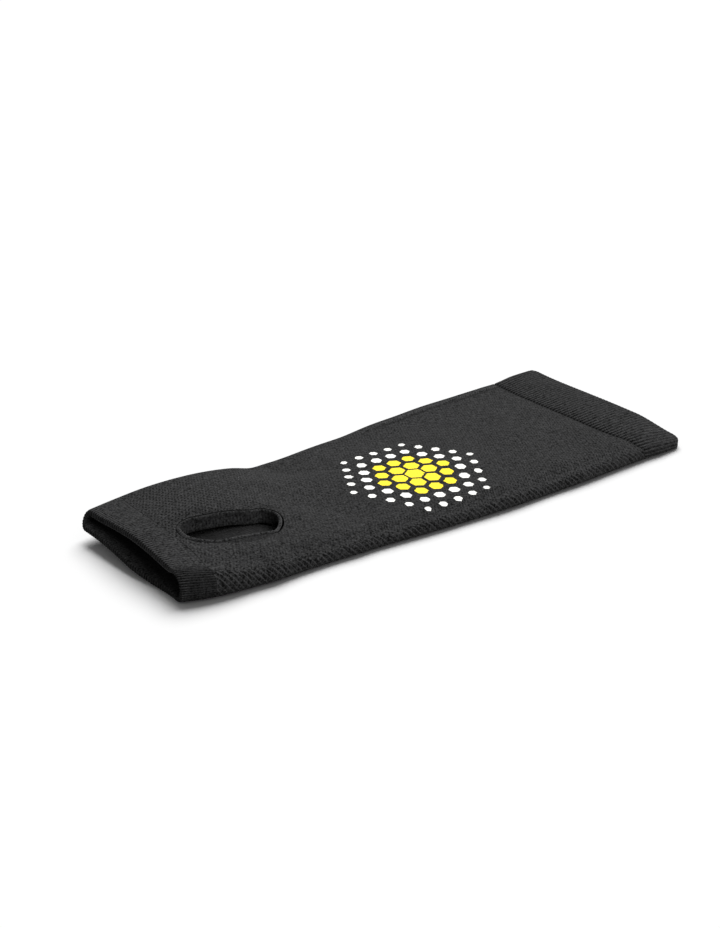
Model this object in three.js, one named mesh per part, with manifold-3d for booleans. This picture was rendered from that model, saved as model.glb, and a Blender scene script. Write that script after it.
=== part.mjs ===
// A knitted forearm sleeve that lies flat on a table, with a ribbed cuff at each end and a bound
// thumb hole near the hand end. Millimetres, +Z up. The sleeve runs along X with its hand end at -X,
// +Y is its far side, and Z = 0 is the surface that it lies on.
import * as THREE from 'three';
import { ParametricGeometry } from 'three/addons/geometries/ParametricGeometry.js';
import { mergeVertices } from 'three/addons/utils/BufferGeometryUtils.js';
import Module from 'manifold-3d';

// Driving dimensions
const LENGTH = 300;
const HAND_CUFF_WIDTH = 15;
const ARM_CUFF_WIDTH = 30.5;
const SEAM_GAP = 0.3;
const BODY_WALL = 1.8;
const HAND_CUFF_WALL = 2.8;
const ARM_CUFF_WALL = 2.3;

// The thumb hole: two round ends joined by straight sides, wider towards the hand. Its middle is given
// by the distance along the sleeve and across it, and turn is about Z.
const HOLE = { along: 45.5, across: -13, span: 29.5, handRadius: 13, armRadius: 9.5, turn: -6 };
const BINDING = { wall: 1.7, depth: 6.5, proud: 0.5 };

// Facets round a section, by stretch, and along each piece
const BOTTOM_FACETS = 10;
const FOLD_FACETS = 8;
const TOP_FACETS = 22;
const AROUND = BOTTOM_FACETS + TOP_FACETS + 2 * FOLD_FACETS;
const BODY_FACETS = 24;
const CUFF_FACETS = 4;
const LIP_FACETS = 3;
const BINDING_FACETS = 44;

// One row for each section of the sleeve's outside. along: distance from the hand end. near, far: Y of
// the two side folds. nearRise, midRise, farRise: height of the upper wall at the near fold, in the
// middle and at the far fold.
const SECTIONS = [
  { along: 0, near: -39.5, far: 44.5, nearRise: 15.0, midRise: 17.5, farRise: 15.5 },
  { along: 12, near: -43.9, far: 46.2, nearRise: 14.6, midRise: 17.8, farRise: 16.5 },
  { along: 36, near: -47.3, far: 47.6, nearRise: 13.5, midRise: 18.0, farRise: 18.5 },
  { along: 64, near: -48.6, far: 48.6, nearRise: 11.0, midRise: 15.0, farRise: 14.5 },
  { along: 95, near: -50.8, far: 49.8, nearRise: 9.5, midRise: 11.5, farRise: 10.0 },
  { along: 150, near: -55.9, far: 52.4, nearRise: 8.6, midRise: 10.5, farRise: 8.6 },
  { along: 220, near: -57.9, far: 58.6, nearRise: 8.6, midRise: 10.0, farRise: 8.6 },
  { along: 270, near: -56.6, far: 59.7, nearRise: 8.4, midRise: 9.8, farRise: 8.6 },
  { along: 289, near: -57.7, far: 61.8, nearRise: 8.6, midRise: 10.2, farRise: 9.0 },
  { along: 300, near: -55.5, far: 62.0, nearRise: 8.4, midRise: 10.2, farRise: 9.0 },
];
const COLUMNS = ['near', 'far', 'nearRise', 'midRise', 'farRise'];

const CHARCOAL = 0x3b3b3e;
const CHARCOAL_RIB = 0x333336;
const KNIT = { roughness: 0.95, metalness: 0 };

const wasm = await Module();
wasm.setup();

const sectionCurve = new THREE.CubicInterpolant(
  SECTIONS.map((row) => row.along),
  SECTIONS.flatMap((row) => COLUMNS.map((column) => row[column])),
  COLUMNS.length,
);

// The section at a distance along the sleeve, inset by the depth below the outer surface
function sectionAt(along, inset) {
  const [near, far, nearRise, midRise, farRise] = sectionCurve.evaluate(along);
  const nearRadius = nearRise / 2 - inset;
  const farRadius = farRise / 2 - inset;
  return {
    floor: inset,
    nearRadius,
    farRadius,
    nearTurn: near + inset + nearRadius,
    farTurn: far - inset - farRadius,
    nearTop: nearRise - inset,
    farTop: farRise - inset,
    crown: midRise - (nearRise + farRise) / 2,
  };
}

// Height of the upper wall between its two folds; span runs from 0 at the far fold to 1 at the near one
function upperHeight(section, span) {
  const level = THREE.MathUtils.lerp(section.farTop, section.nearTop, span);
  const rounding = (1 - (2 * span - 1) ** 2) ** 2;
  return level + section.crown * rounding;
}

// A point on a wall: the lower wall from near to far, the far fold, the upper wall, the near fold
function wallPoint(along, inset, turn, target) {
  const section = sectionAt(along, inset);
  const step = turn * AROUND;
  const x = along - LENGTH / 2;
  const farFoldStart = BOTTOM_FACETS;
  const topStart = farFoldStart + FOLD_FACETS;
  const nearFoldStart = topStart + TOP_FACETS;
  if (step <= farFoldStart) {
    const y = THREE.MathUtils.lerp(section.nearTurn, section.farTurn, step / BOTTOM_FACETS);
    return target.set(x, y, section.floor);
  }
  if (step <= topStart) {
    const angle = Math.PI * ((step - farFoldStart) / FOLD_FACETS - 0.5);
    const y = section.farTurn + section.farRadius * Math.cos(angle);
    return target.set(x, y, section.floor + section.farRadius * (1 + Math.sin(angle)));
  }
  if (step <= nearFoldStart) {
    const span = (step - topStart) / TOP_FACETS;
    const y = THREE.MathUtils.lerp(section.farTurn, section.nearTurn, span);
    return target.set(x, y, upperHeight(section, span));
  }
  const angle = Math.PI * ((step - nearFoldStart) / FOLD_FACETS + 0.5);
  const y = section.nearTurn + section.nearRadius * Math.cos(angle);
  return target.set(x, y, section.floor + section.nearRadius * (1 + Math.sin(angle)));
}

// The closed cut through a wall, as points of distance along (x) and depth below the outside (y).
// A lip is a half-round fold; an end without one is cut square.
function wallCut(start, end, wall, facets, lipAtStart, lipAtEnd) {
  const radius = wall / 2;
  const outerStart = lipAtStart ? start + radius : start;
  const outerEnd = lipAtEnd ? end - radius : end;
  const cut = new THREE.Path();
  cut.moveTo(outerStart, 0);
  for (let step = 1; step <= facets; step += 1) {
    cut.lineTo(THREE.MathUtils.lerp(outerStart, outerEnd, step / facets), 0);
  }
  if (lipAtEnd) {
    cut.absarc(outerEnd, radius, radius, -Math.PI / 2, Math.PI / 2, false);
  }
  cut.lineTo(outerEnd, wall);
  for (let step = 1; step <= facets; step += 1) {
    cut.lineTo(THREE.MathUtils.lerp(outerEnd, outerStart, step / facets), wall);
  }
  if (lipAtStart) {
    cut.absarc(outerStart, radius, radius, Math.PI / 2, Math.PI * 1.5, false);
  }
  cut.closePath();
  return distinct(cut.getPoints(LIP_FACETS));
}

// Drops points that repeat the one before them, and closes the loop on its first point
function distinct(points) {
  const kept = points.filter((point, i) => i === 0 || point.distanceTo(points[i - 1]) > 1e-6);
  if (kept[0].distanceTo(kept[kept.length - 1]) < 1e-6) {
    kept.pop();
  }
  return [...kept, kept[0]];
}

// A closed wall: a cut through it carried round the loop by a function of (cut point, turn)
function ringGeometry(cut, around, place) {
  const stacks = cut.length - 1;
  const surface = (turn, way, target) => place(cut[Math.round(way * stacks)], turn % 1, target);
  const geometry = new ParametricGeometry(surface, around, stacks);
  geometry.deleteAttribute('normal');
  geometry.deleteAttribute('uv');
  return mergeVertices(geometry, 1e-4);
}

function tubeGeometry(start, end, wall, facets, lipAtStart, lipAtEnd) {
  const cut = wallCut(start, end, wall, facets, lipAtStart, lipAtEnd);
  return ringGeometry(cut, AROUND, (point, turn, target) => wallPoint(point.x, point.y, turn, target));
}

// The outline of the hole grown by an offset, as a path about the hole's middle
function holeOutline(offset) {
  const reach = HOLE.span / 2;
  const slope = Math.PI / 2 - Math.asin((HOLE.handRadius - HOLE.armRadius) / HOLE.span);
  const outline = new THREE.Shape();
  outline.absarc(reach, 0, HOLE.armRadius + offset, -slope, slope, false);
  outline.absarc(-reach, 0, HOLE.handRadius + offset, slope, 2 * Math.PI - slope, false);
  outline.closePath();
  return outline;
}

function solidFrom(geometry) {
  const merged = geometry.index ? geometry : mergeVertices(geometry, 1e-4);
  const mesh = new wasm.Mesh({
    numProp: 3,
    vertProperties: new Float32Array(merged.attributes.position.array),
    triVerts: new Uint32Array(merged.index.array),
  });
  return new wasm.Manifold(mesh);
}

function geometryFrom(solid) {
  const mesh = solid.getMesh();
  const geometry = new THREE.BufferGeometry();
  geometry.setAttribute('position', new THREE.BufferAttribute(mesh.vertProperties, 3));
  geometry.setIndex(new THREE.BufferAttribute(mesh.triVerts, 1));
  return geometry;
}

// A tall prism of the hole's outline, which cuts the upper wall only
function holeCutter() {
  const above = Math.max(...SECTIONS.map((row) => Math.max(row.midRise, row.farRise))) + 5;
  const below = BODY_WALL + 3;
  const prism = new THREE.ExtrudeGeometry(holeOutline(0), {
    depth: above - below,
    bevelEnabled: false,
    curveSegments: BINDING_FACETS / 4,
  });
  prism.deleteAttribute('normal');
  prism.deleteAttribute('uv');
  prism.rotateZ(THREE.MathUtils.degToRad(HOLE.turn));
  prism.translate(HOLE.along - LENGTH / 2, HOLE.across, below);
  return mergeVertices(prism, 1e-4);
}

function bodyGeometry() {
  const start = HAND_CUFF_WIDTH + SEAM_GAP / 2;
  const end = LENGTH - ARM_CUFF_WIDTH - SEAM_GAP / 2;
  const wall = solidFrom(tubeGeometry(start, end, BODY_WALL, BODY_FACETS, false, false));
  return geometryFrom(wall.subtract(solidFrom(holeCutter())));
}

// Height of the outside of the upper wall at a place on it
function surfaceHeight(along, across) {
  const section = sectionAt(along, 0);
  const span = (section.farTurn - across) / (section.farTurn - section.nearTurn);
  return upperHeight(section, THREE.MathUtils.clamp(span, 0, 1));
}

// The binding: a collar that lines the hole, with a round upper edge that follows the sleeve's surface
function bindingGeometry() {
  const radius = BINDING.wall / 2;
  const cut = new THREE.Path();
  cut.moveTo(0, -BINDING.depth);
  cut.lineTo(0, BINDING.proud - radius);
  cut.absarc(-radius, BINDING.proud - radius, radius, 0, Math.PI, false);
  cut.lineTo(-BINDING.wall, -BINDING.depth);
  cut.closePath();
  const points = distinct(cut.getPoints(LIP_FACETS));
  const place = (point, turn, target) => {
    const edge = holeOutline(point.x - SEAM_GAP).getPointAt(turn);
    edge.rotateAround(new THREE.Vector2(), THREE.MathUtils.degToRad(HOLE.turn));
    const along = HOLE.along + edge.x;
    const across = HOLE.across + edge.y;
    return target.set(along - LENGTH / 2, across, surfaceHeight(along, across) + point.y);
  };
  return ringGeometry(points, BINDING_FACETS, place);
}

function piece(name, geometry, colour) {
  const shown = geometry.toNonIndexed();
  shown.computeVertexNormals();
  const mesh = new THREE.Mesh(shown, new THREE.MeshStandardMaterial({ color: colour, ...KNIT }));
  mesh.name = name;
  return mesh;
}

const handCuffEnd = HAND_CUFF_WIDTH - SEAM_GAP / 2;
const armCuffStart = LENGTH - ARM_CUFF_WIDTH + SEAM_GAP / 2;

const sleeve = new THREE.Group();
sleeve.add(piece('sleeve_body', bodyGeometry(), CHARCOAL));
sleeve.add(piece(
  'hand_cuff',
  tubeGeometry(0, handCuffEnd, HAND_CUFF_WALL, CUFF_FACETS, true, false),
  CHARCOAL_RIB,
));
sleeve.add(piece(
  'arm_cuff',
  tubeGeometry(armCuffStart, LENGTH, ARM_CUFF_WALL, CUFF_FACETS, false, true),
  CHARCOAL_RIB,
));
sleeve.add(piece('thumb_hole_binding', bindingGeometry(), CHARCOAL_RIB));

// The middle of the sleeve's outline comes over the origin
const middle = new THREE.Box3().setFromObject(sleeve).getCenter(new THREE.Vector3());
sleeve.position.set(-middle.x, -middle.y, 0);

export default sleeve;
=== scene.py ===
# %% [markdown]
# # A knitted forearm sleeve
# The sleeve lies flat on a pale table: a tapering tube of charcoal knit with a ribbed cuff at each end,
# and near the hand end a bound hole for the thumb. The CAD frame holds its size and place. In this lesson
# each piece is modelled again as cloth: a soft wall with real ribs, seams and folds, and a knit finish.

# %% The frame and the units
import math

import bpy
import numpy as np
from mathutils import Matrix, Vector


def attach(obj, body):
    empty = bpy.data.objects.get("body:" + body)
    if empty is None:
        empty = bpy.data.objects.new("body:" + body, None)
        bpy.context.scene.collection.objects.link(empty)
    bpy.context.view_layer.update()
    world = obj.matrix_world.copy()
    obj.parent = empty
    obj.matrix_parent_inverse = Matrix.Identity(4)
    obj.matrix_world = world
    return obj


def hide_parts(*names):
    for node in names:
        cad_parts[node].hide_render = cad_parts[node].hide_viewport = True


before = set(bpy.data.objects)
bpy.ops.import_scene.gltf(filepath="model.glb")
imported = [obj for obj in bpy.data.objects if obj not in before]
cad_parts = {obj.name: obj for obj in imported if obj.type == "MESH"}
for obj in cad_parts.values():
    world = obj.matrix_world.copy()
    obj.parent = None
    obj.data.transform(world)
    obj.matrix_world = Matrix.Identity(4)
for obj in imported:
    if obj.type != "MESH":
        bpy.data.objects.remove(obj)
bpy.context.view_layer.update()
bpy.ops.object.select_all(action="DESELECT")
scene = bpy.context.scene
MM = 0.001

# %% [markdown]
# ## The camera
# A photograph's viewpoint can be worked back from the object: a focal length in pixels, a turn about the
# upright axis, a tilt above the table and a distance. Blender takes the focal length in millimetres on a
# sensor, and with its automatic fit the sensor's width belongs to the picture's longer side.

# %% Camera
PICTURE_HEIGHT = 928
FOCAL_PIXELS = 1600
SENSOR_MM = 36
CAMERA_TURN = math.radians(-38.4)
CAMERA_TILT = math.radians(24)
CAMERA_DISTANCE = 827.6 * MM
AIM_POINT = Vector((2.7, 29.1, 0)) * MM

way_back = Vector((
    math.sin(CAMERA_TURN) * math.cos(CAMERA_TILT),
    -math.cos(CAMERA_TURN) * math.cos(CAMERA_TILT),
    math.sin(CAMERA_TILT),
))
bpy.ops.object.camera_add(location=AIM_POINT + way_back * CAMERA_DISTANCE)
camera = bpy.context.object
camera.rotation_euler = (-way_back).to_track_quat("-Z", "Y").to_euler()
camera.data.sensor_width = SENSOR_MM
camera.data.lens = FOCAL_PIXELS * SENSOR_MM / PICTURE_HEIGHT
scene.camera = camera
print("lens in mm:", round(camera.data.lens, 2))

# %% [markdown]
# ## The sleeve's form
# Every piece of the sleeve shares one form, so it is described once. A short table gives the section at
# eleven places: where the two side folds are, and how high the upper wall stands at the near fold, in the
# middle and at the far fold. shoulder is the height from which the upper wall drops to the near fold,
# drop_start is the share of the way across at which that drop starts, and far_lift is how far the lower
# wall curls up from the table at the far fold. near_press says how much the near fold is squared below,
# where it is pressed on the table: 1 is a plain round fold.
# A second table gives the slip of the stitch rows along the sleeve at the far fold, in the middle and at
# the near fold, because rows that run round a soft tube never lie quite straight.
# Between a table's rows each column follows a smooth cubic.

# %% Sections along the sleeve
LENGTH = 300
SECTION_COLUMNS = (
    "along", "near", "far", "near_rise", "shoulder", "drop_start", "mid_rise", "far_rise", "far_lift",
    "near_press",
)
SECTION_ROWS = [
    (0, -39.5, 44.5, 15.0, 15.0, 0.80, 17.5, 15.5, 5.5, 0.50),
    (12, -43.9, 46.2, 13.6, 14.6, 0.80, 17.8, 16.5, 4.5, 0.50),
    (36, -47.2, 47.6, 8.4, 11.6, 0.82, 18.0, 18.5, 0.5, 0.65),
    (64, -48.1, 48.6, 5.8, 8.8, 0.88, 15.0, 16.4, 0.0, 0.80),
    (80, -49.0, 49.2, 5.4, 8.0, 0.90, 13.2, 13.6, 0.0, 0.85),
    (95, -50.1, 49.8, 5.6, 7.8, 0.91, 11.5, 9.4, 0.0, 0.85),
    (150, -55.8, 52.4, 6.2, 8.0, 0.92, 10.2, 8.6, 0.0, 0.85),
    (220, -58.4, 58.6, 6.4, 8.2, 0.92, 9.8, 8.6, 0.0, 0.85),
    (270, -57.8, 59.7, 6.4, 8.2, 0.92, 9.8, 8.6, 0.0, 0.85),
    (289, -58.4, 61.8, 5.8, 8.6, 0.85, 10.2, 9.0, 0.0, 0.92),
    (300, -58.0, 62.0, 4.6, 8.2, 0.72, 10.2, 9.0, 0.0, 1.0),
]
SLIP_COLUMNS = ("along", "far_slip", "mid_slip", "near_slip")
SLIP_ROWS = [
    (0, 0.0, 0.0, -1.4),
    (12, 3.0, 0.0, -1.2),
    (36, 1.0, 0.0, 0.0),
    (64, 0.0, 0.0, 0.0),
    (150, 0.0, 0.0, 0.0),
    (220, 0.0, -0.5, 0.0),
    (270, 2.0, -3.4, 2.1),
    (289, 1.3, -2.6, -0.6),
    (300, 4.6, -0.8, 2.2),
]


def column_curves(columns, rows):
    """For each column, the places along the sleeve and the values there."""
    table = np.array(rows, float)
    return {name: (table[:, 0], table[:, i]) for i, name in enumerate(columns)}


CURVES = {**column_curves(SECTION_COLUMNS, SECTION_ROWS), **column_curves(SLIP_COLUMNS, SLIP_ROWS)}


def section_column(name, along):
    """One column of a table at any distance along, on a cubic through its rows."""
    places, values = CURVES[name]
    slopes = np.gradient(values, places)
    row = np.clip(np.searchsorted(places, along, side="right") - 1, 0, len(places) - 2)
    gap = places[row + 1] - places[row]
    t = (along - places[row]) / gap
    start = (1 + 2 * t) * (1 - t) ** 2 * values[row] + t * (1 - t) ** 2 * gap * slopes[row]
    end = t * t * (3 - 2 * t) * values[row + 1] + t * t * (t - 1) * gap * slopes[row + 1]
    return start + end


stations = np.linspace(0, LENGTH, 601)
outline_middle = (section_column("near", stations).min() + section_column("far", stations).max()) / 2
print("the outline's middle lies at Y =", round(outline_middle, 2), "mm before it is centred")

# %% [markdown]
# ## Folds and slack
# Cloth that lies by itself is never a clean surface. The larger folds are a table of soft ridges and
# dents on the upper wall, each along a line, and the slack between them is a handful of long, low waves
# with seeded phases, so that every run gives the same cloth. The waves die out towards both cuffs.

# %% Folds of the upper wall
FOLDS = [
    dict(start=(-124, -35), end=(-106, -42), width=7.0, height=1.2),
    dict(start=(-104, -41), end=(-62, -44), width=8.0, height=1.4),
    dict(start=(-62, -44), end=(112, -49), width=9.0, height=0.4),
    dict(start=(-74, 6), end=(-62, -14), width=10.0, height=-0.7),
    dict(start=(-57, 46), end=(-40, 26), width=6.0, height=-0.7),
    dict(start=(60, -46), end=(110, -32), width=14.0, height=-0.4),
    dict(start=(108, 34), end=(106, -46), width=7.0, height=0.5),
]
WAVES = 7
WAVE_HEIGHT = 0.14
WAVE_REACH = 90
wave_random = np.random.default_rng(11)
wave_lengths = wave_random.uniform(32, 85, WAVES)
wave_headings = wave_random.uniform(0, math.pi, WAVES)
wave_phases = wave_random.uniform(0, 2 * math.pi, WAVES)


def distance_to_line(x, y, start, end):
    """Distance in plan from points to a straight line with two ends."""
    run = np.subtract(end, start)
    share = ((x - start[0]) * run[0] + (y - start[1]) * run[1]) / (run @ run)
    share = np.clip(share, 0, 1)
    return np.hypot(x - start[0] - share * run[0], y - start[1] - share * run[1])


def drape(x, y):
    """How far the folds and the slack lift the upper wall, in mm."""
    lift = np.zeros_like(x)
    for length, heading, phase in zip(wave_lengths, wave_headings, wave_phases):
        along_wave = x * math.cos(heading) + y * math.sin(heading)
        lift += WAVE_HEIGHT * np.sin(2 * math.pi * along_wave / length + phase)
    lift *= np.exp(-((x / WAVE_REACH) ** 4))
    for fold in FOLDS:
        away = distance_to_line(x, y, fold["start"], fold["end"])
        lift += fold["height"] * np.exp(-((away / fold["width"]) ** 2))
    return lift


print(len(FOLDS), "folds and", WAVES, "waves")

# %% [markdown]
# ## The thumb hole's outline
# The hole is two round ends joined by straight sides, wider towards the hand. Both sides then sag towards
# the near fold in a bow: the near one over nearly the whole length, the far one over a shorter stretch.
# Each bow has a depth, a middle forward of the hole's middle, and a half length. The outline serves twice:
# the binding follows it, and the knit dips towards it, most of all on the far side where the binding
# pulls the knit down.

# %% Thumb hole
HOLE_MIDDLE = np.array([45.0 - LENGTH / 2, -11.0 - outline_middle])
HOLE_SPAN = 30.5
HOLE_HAND_RADIUS = 11.8
HOLE_ARM_RADIUS = 9.8
HOLE_TURN = math.radians(-4.5)
FAR_BOW = dict(depth=5.0, middle=4.0, half=17.0)
NEAR_BOW = dict(depth=7.0, middle=3.0, half=26.0)
RIM_DIP = 0.4
RIM_FAR_DIP = 0.8
RIM_REACH = 5.5
HOLE_HALF = (HOLE_SPAN + HOLE_HAND_RADIUS + HOLE_ARM_RADIUS) / 2
hole_way = np.array([math.cos(HOLE_TURN), math.sin(HOLE_TURN)])


def sag(bow, forward):
    """Sag of one bow: its depth at its middle, and nothing past its ends."""
    return bow["depth"] * np.maximum(1 - ((forward - bow["middle"]) / bow["half"]) ** 2, 0) ** 2


def hole_bow(forward, on_far_side):
    """How far a side of the hole is bowed towards the near fold, forward of the hole's middle."""
    return np.where(on_far_side, sag(FAR_BOW, forward), sag(NEAR_BOW, forward))


def hole_axes(x, y):
    """Distances forward and aside of the hole's middle, as if its bowed sides were straight."""
    forward = (x - HOLE_MIDDLE[0]) * hole_way[0] + (y - HOLE_MIDDLE[1]) * hole_way[1]
    aside = (y - HOLE_MIDDLE[1]) * hole_way[0] - (x - HOLE_MIDDLE[0]) * hole_way[1]
    return forward, aside + hole_bow(forward, aside + hole_bow(forward, True) > 0)


def distance_outside_hole(x, y):
    """Distance in plan from the hole's edge, negative inside it."""
    forward, aside = hole_axes(x, y)
    share = np.clip(forward / HOLE_SPAN + 0.5, 0, 1)
    radius = HOLE_HAND_RADIUS + share * (HOLE_ARM_RADIUS - HOLE_HAND_RADIUS)
    return np.hypot(forward - (share - 0.5) * HOLE_SPAN, aside) - radius


def hole_outline(offset, shares):
    """Points on the hole's outline grown by an offset; shares run from 0 to 1 round it."""
    lean = math.asin((HOLE_HAND_RADIUS - HOLE_ARM_RADIUS) / HOLE_SPAN)
    half_arm = math.pi / 2 - lean
    fine = 200
    arm_angles = np.linspace(-half_arm, half_arm, fine)
    hand_angles = np.linspace(half_arm, 2 * math.pi - half_arm, fine)
    arm_radius = HOLE_ARM_RADIUS + offset
    hand_radius = HOLE_HAND_RADIUS + offset
    forward = np.concatenate([
        HOLE_SPAN / 2 + arm_radius * np.cos(arm_angles),
        -HOLE_SPAN / 2 + hand_radius * np.cos(hand_angles),
    ])
    aside = np.concatenate([arm_radius * np.sin(arm_angles), hand_radius * np.sin(hand_angles)])
    aside -= hole_bow(forward, aside > 0)
    forward = np.append(forward, forward[0])
    aside = np.append(aside, aside[0])
    travelled = np.append(0, np.cumsum(np.hypot(np.diff(forward), np.diff(aside))))
    forward = np.interp(shares * travelled[-1], travelled, forward)
    aside = np.interp(shares * travelled[-1], travelled, aside)
    x = HOLE_MIDDLE[0] + forward * hole_way[0] - aside * hole_way[1]
    y = HOLE_MIDDLE[1] + forward * hole_way[1] + aside * hole_way[0]
    return x, y


hole_edge = np.array(hole_outline(0, np.linspace(0, 1, 400)))
HOLE_ROUND = np.hypot(*np.diff(hole_edge)).sum()
print("thumb hole:", round(np.ptp(hole_edge[0]), 1), "by", round(np.ptp(hole_edge[1]), 1), "mm")

# %% [markdown]
# ## A point on the cloth
# Going once round a section, turn runs from 0 to 1: half of the lower wall, the far fold, the upper wall,
# the near fold and the other half of the lower wall. A depth below the outside gives the inner wall, so
# one function places every vertex of the body and of both cuffs, and neighbours fit without fitting.
# Under the thumb hole the lower wall is slack too, and stands off the table in a low hump. At the hand it
# lifts off the table towards the far fold, and its lip lies a little further out than the upper one.
# Along the far fold the cloth keeps a raised welt with a steep step on its inner side.

# %% From (along, turn, depth) to a place
LOWER_HALF = 0.2
FOLD_SHARE = 0.1
UPPER_SHARE = 0.4
UPPER_START = LOWER_HALF + FOLD_SHARE
UPPER_END = UPPER_START + UPPER_SHARE
LIFT_START = 0.18
LIFT_RUN = 0.66
HUMP_HEIGHT = 5.5
HUMP_MIDDLE = (-102.0, -12.0)
HUMP_HALF_LENGTH = 44.0
HUMP_HALF_WIDTH = 36.0
FAR_CORNER = 9.0
NEAR_CORNER = 9.0
CORNER_REACH = 24.0
CORNER_ROUNDNESS = 0.98
LIP_PULL = 3.7
LIP_PULL_REACH = 9.0
WELT_INSET = 7.6
WELT_STEP = 0.8
WELT_RUN = 5.5
WELT_HEIGHT = 0.8
WELT_START = 150
WELT_END = 269
WELT_FADE = 40


def eased(value):
    """0 below 0, 1 above 1, and a soft start and end between."""
    value = np.clip(value, 0, 1)
    return value * value * (3 - 2 * value)


def slip(along, y):
    """How far the rows of stitches are pulled along the sleeve at a place across it."""
    near, far = section_column("near", along), section_column("far", along)
    across = np.clip((far + near - 2 * y) / (far - near), -1, 1)
    middle = section_column("mid_slip", along)
    edge = np.where(across < 0, section_column("far_slip", along), section_column("near_slip", along))
    corner = np.where(across < 0, FAR_CORNER, NEAR_CORNER)
    past = np.clip(1 - (far - near) / 2 * (1 - abs(across)) / corner, 0, 1)
    at_arm_end = eased((along - LENGTH + CORNER_REACH) / CORNER_REACH)
    rounding = corner * (1 - np.sqrt(1 - CORNER_ROUNDNESS * past**2)) * at_arm_end
    return middle + (edge - middle) * across**2 - rounding


def upper_wall(along, y):
    """Height of the outside of the upper wall over a place, with its folds."""
    near_rise = section_column("near_rise", along)
    far_rise = section_column("far_rise", along)
    far_lift = section_column("far_lift", along)
    near_turn = section_column("near", along) + near_rise / 2
    far_turn = section_column("far", along) - (far_rise - far_lift) / 2
    shoulder = section_column("shoulder", along)
    span = np.clip((far_turn - y) / (far_turn - near_turn), 0, 1)
    crown = section_column("mid_rise", along) - (shoulder + far_rise) / 2
    height = far_rise + (shoulder - far_rise) * span + crown * (1 - (2 * span - 1) ** 2) ** 2
    drop_start = section_column("drop_start", along)
    height -= (shoulder - near_rise) * eased((span - drop_start) / (1 - drop_start))
    x = along + slip(along, y) - LENGTH / 2
    shifted = y - outline_middle
    rim = np.exp(-((np.maximum(distance_outside_hole(x, shifted), 0) / RIM_REACH) ** 2))
    _, beyond = hole_axes(x, shifted)
    dip = RIM_DIP + RIM_FAR_DIP * eased(beyond / HOLE_HAND_RADIUS)
    return height + drape(x, shifted) + far_welt(along, y) - dip * rim


def far_welt(along, y):
    """Height of the raised welt along the far fold: a steep step, then a slope down to the fold."""
    inside = WELT_INSET - section_column("far", along) + y
    length_fade = eased((along - WELT_START) / WELT_FADE) * eased((WELT_END - along) / (WELT_FADE / 4))
    slope = np.clip(1 - inside / WELT_RUN, 0, 1)
    return WELT_HEIGHT * eased(inside / WELT_STEP) * slope * length_fade


def lower_wall(along, y):
    """Height of the outside of the lower wall: its lift towards the far fold, and the slack hump."""
    near, far = section_column("near", along), section_column("far", along)
    lift = section_column("far_lift", along) * eased(((y - near) / (far - near) - LIFT_START) / LIFT_RUN)
    x, shifted = along - LENGTH / 2, y - outline_middle
    away = np.hypot((x - HUMP_MIDDLE[0]) / HUMP_HALF_LENGTH, (shifted - HUMP_MIDDLE[1]) / HUMP_HALF_WIDTH)
    return lift + HUMP_HEIGHT * eased(1 - away)


def cloth_points(along, turn, depth):
    """Places on the cloth, in metres, for arrays of equal length in mm and turns."""
    near_rise = section_column("near_rise", along)
    far_rise = section_column("far_rise", along)
    far_lift = section_column("far_lift", along)
    near_middle = section_column("near", along) + near_rise / 2
    far_middle = section_column("far", along) - (far_rise - far_lift) / 2
    middle = (near_middle + far_middle) / 2
    near_top = upper_wall(along, near_middle)
    far_top = upper_wall(along, far_middle)
    near_radius = near_top / 2
    far_radius = (far_top - far_lift) / 2

    far_fold = math.pi * (np.clip((turn - LOWER_HALF) / FOLD_SHARE, 0, 1) - 0.5)
    far_reach = np.cos(far_fold)
    upper = np.clip((turn - UPPER_START) / UPPER_SHARE, 0, 1)
    near_fold = math.pi * (0.5 - np.clip((turn - UPPER_END) / FOLD_SHARE, 0, 1))
    near_press = np.where(near_fold < 0, section_column("near_press", along), 1)
    near_reach = np.abs(np.cos(near_fold)) ** near_press
    upper_y = far_middle + (near_middle - far_middle) * upper
    lower_far_y = middle + (far_middle - middle) * np.clip(turn / LOWER_HALF, 0, 1)
    lower_near_y = near_middle + (middle - near_middle) * np.clip((turn - 1 + LOWER_HALF) / LOWER_HALF, 0, 1)
    x_middle = along - LENGTH / 2

    stretch = np.digitize(turn, [LOWER_HALF, UPPER_START, UPPER_END, 1 - LOWER_HALF])
    y = np.choose(stretch, [
        lower_far_y,
        far_middle + (far_radius - depth) * far_reach,
        upper_y,
        near_middle - (near_radius - depth) * near_reach,
        lower_near_y,
    ])
    z = np.choose(stretch, [
        lower_wall(along, lower_far_y) + depth,
        far_lift + far_radius + (far_radius - depth) * np.sin(far_fold),
        upper_wall(along, upper_y) - depth,
        near_radius + (near_radius - depth) * np.sin(near_fold),
        lower_wall(along, lower_near_y) + depth,
    ])
    lower = (1 - np.sin(far_fold)) / 2 + eased((turn - 1 + LOWER_HALF) / LOWER_HALF)
    pull = LIP_PULL * lower * np.exp(-((along / LIP_PULL_REACH) ** 2))
    return np.column_stack([x_middle + slip(along, y) - pull, y - outline_middle, z]) * MM


def section_length(along):
    """The way round the outside at one place, with its turns, in mm."""
    turns = np.linspace(0, 1, 2001)
    places = cloth_points(np.full_like(turns, along), turns, np.zeros_like(turns)) / MM
    steps = np.linalg.norm(np.diff(places, axis=0), axis=1)
    return turns, np.append(0, np.cumsum(steps))


for place in (0, LENGTH / 2, LENGTH):
    print("round the sleeve at", place, "mm:", round(section_length(place)[1][-1], 1), "mm")

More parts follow.
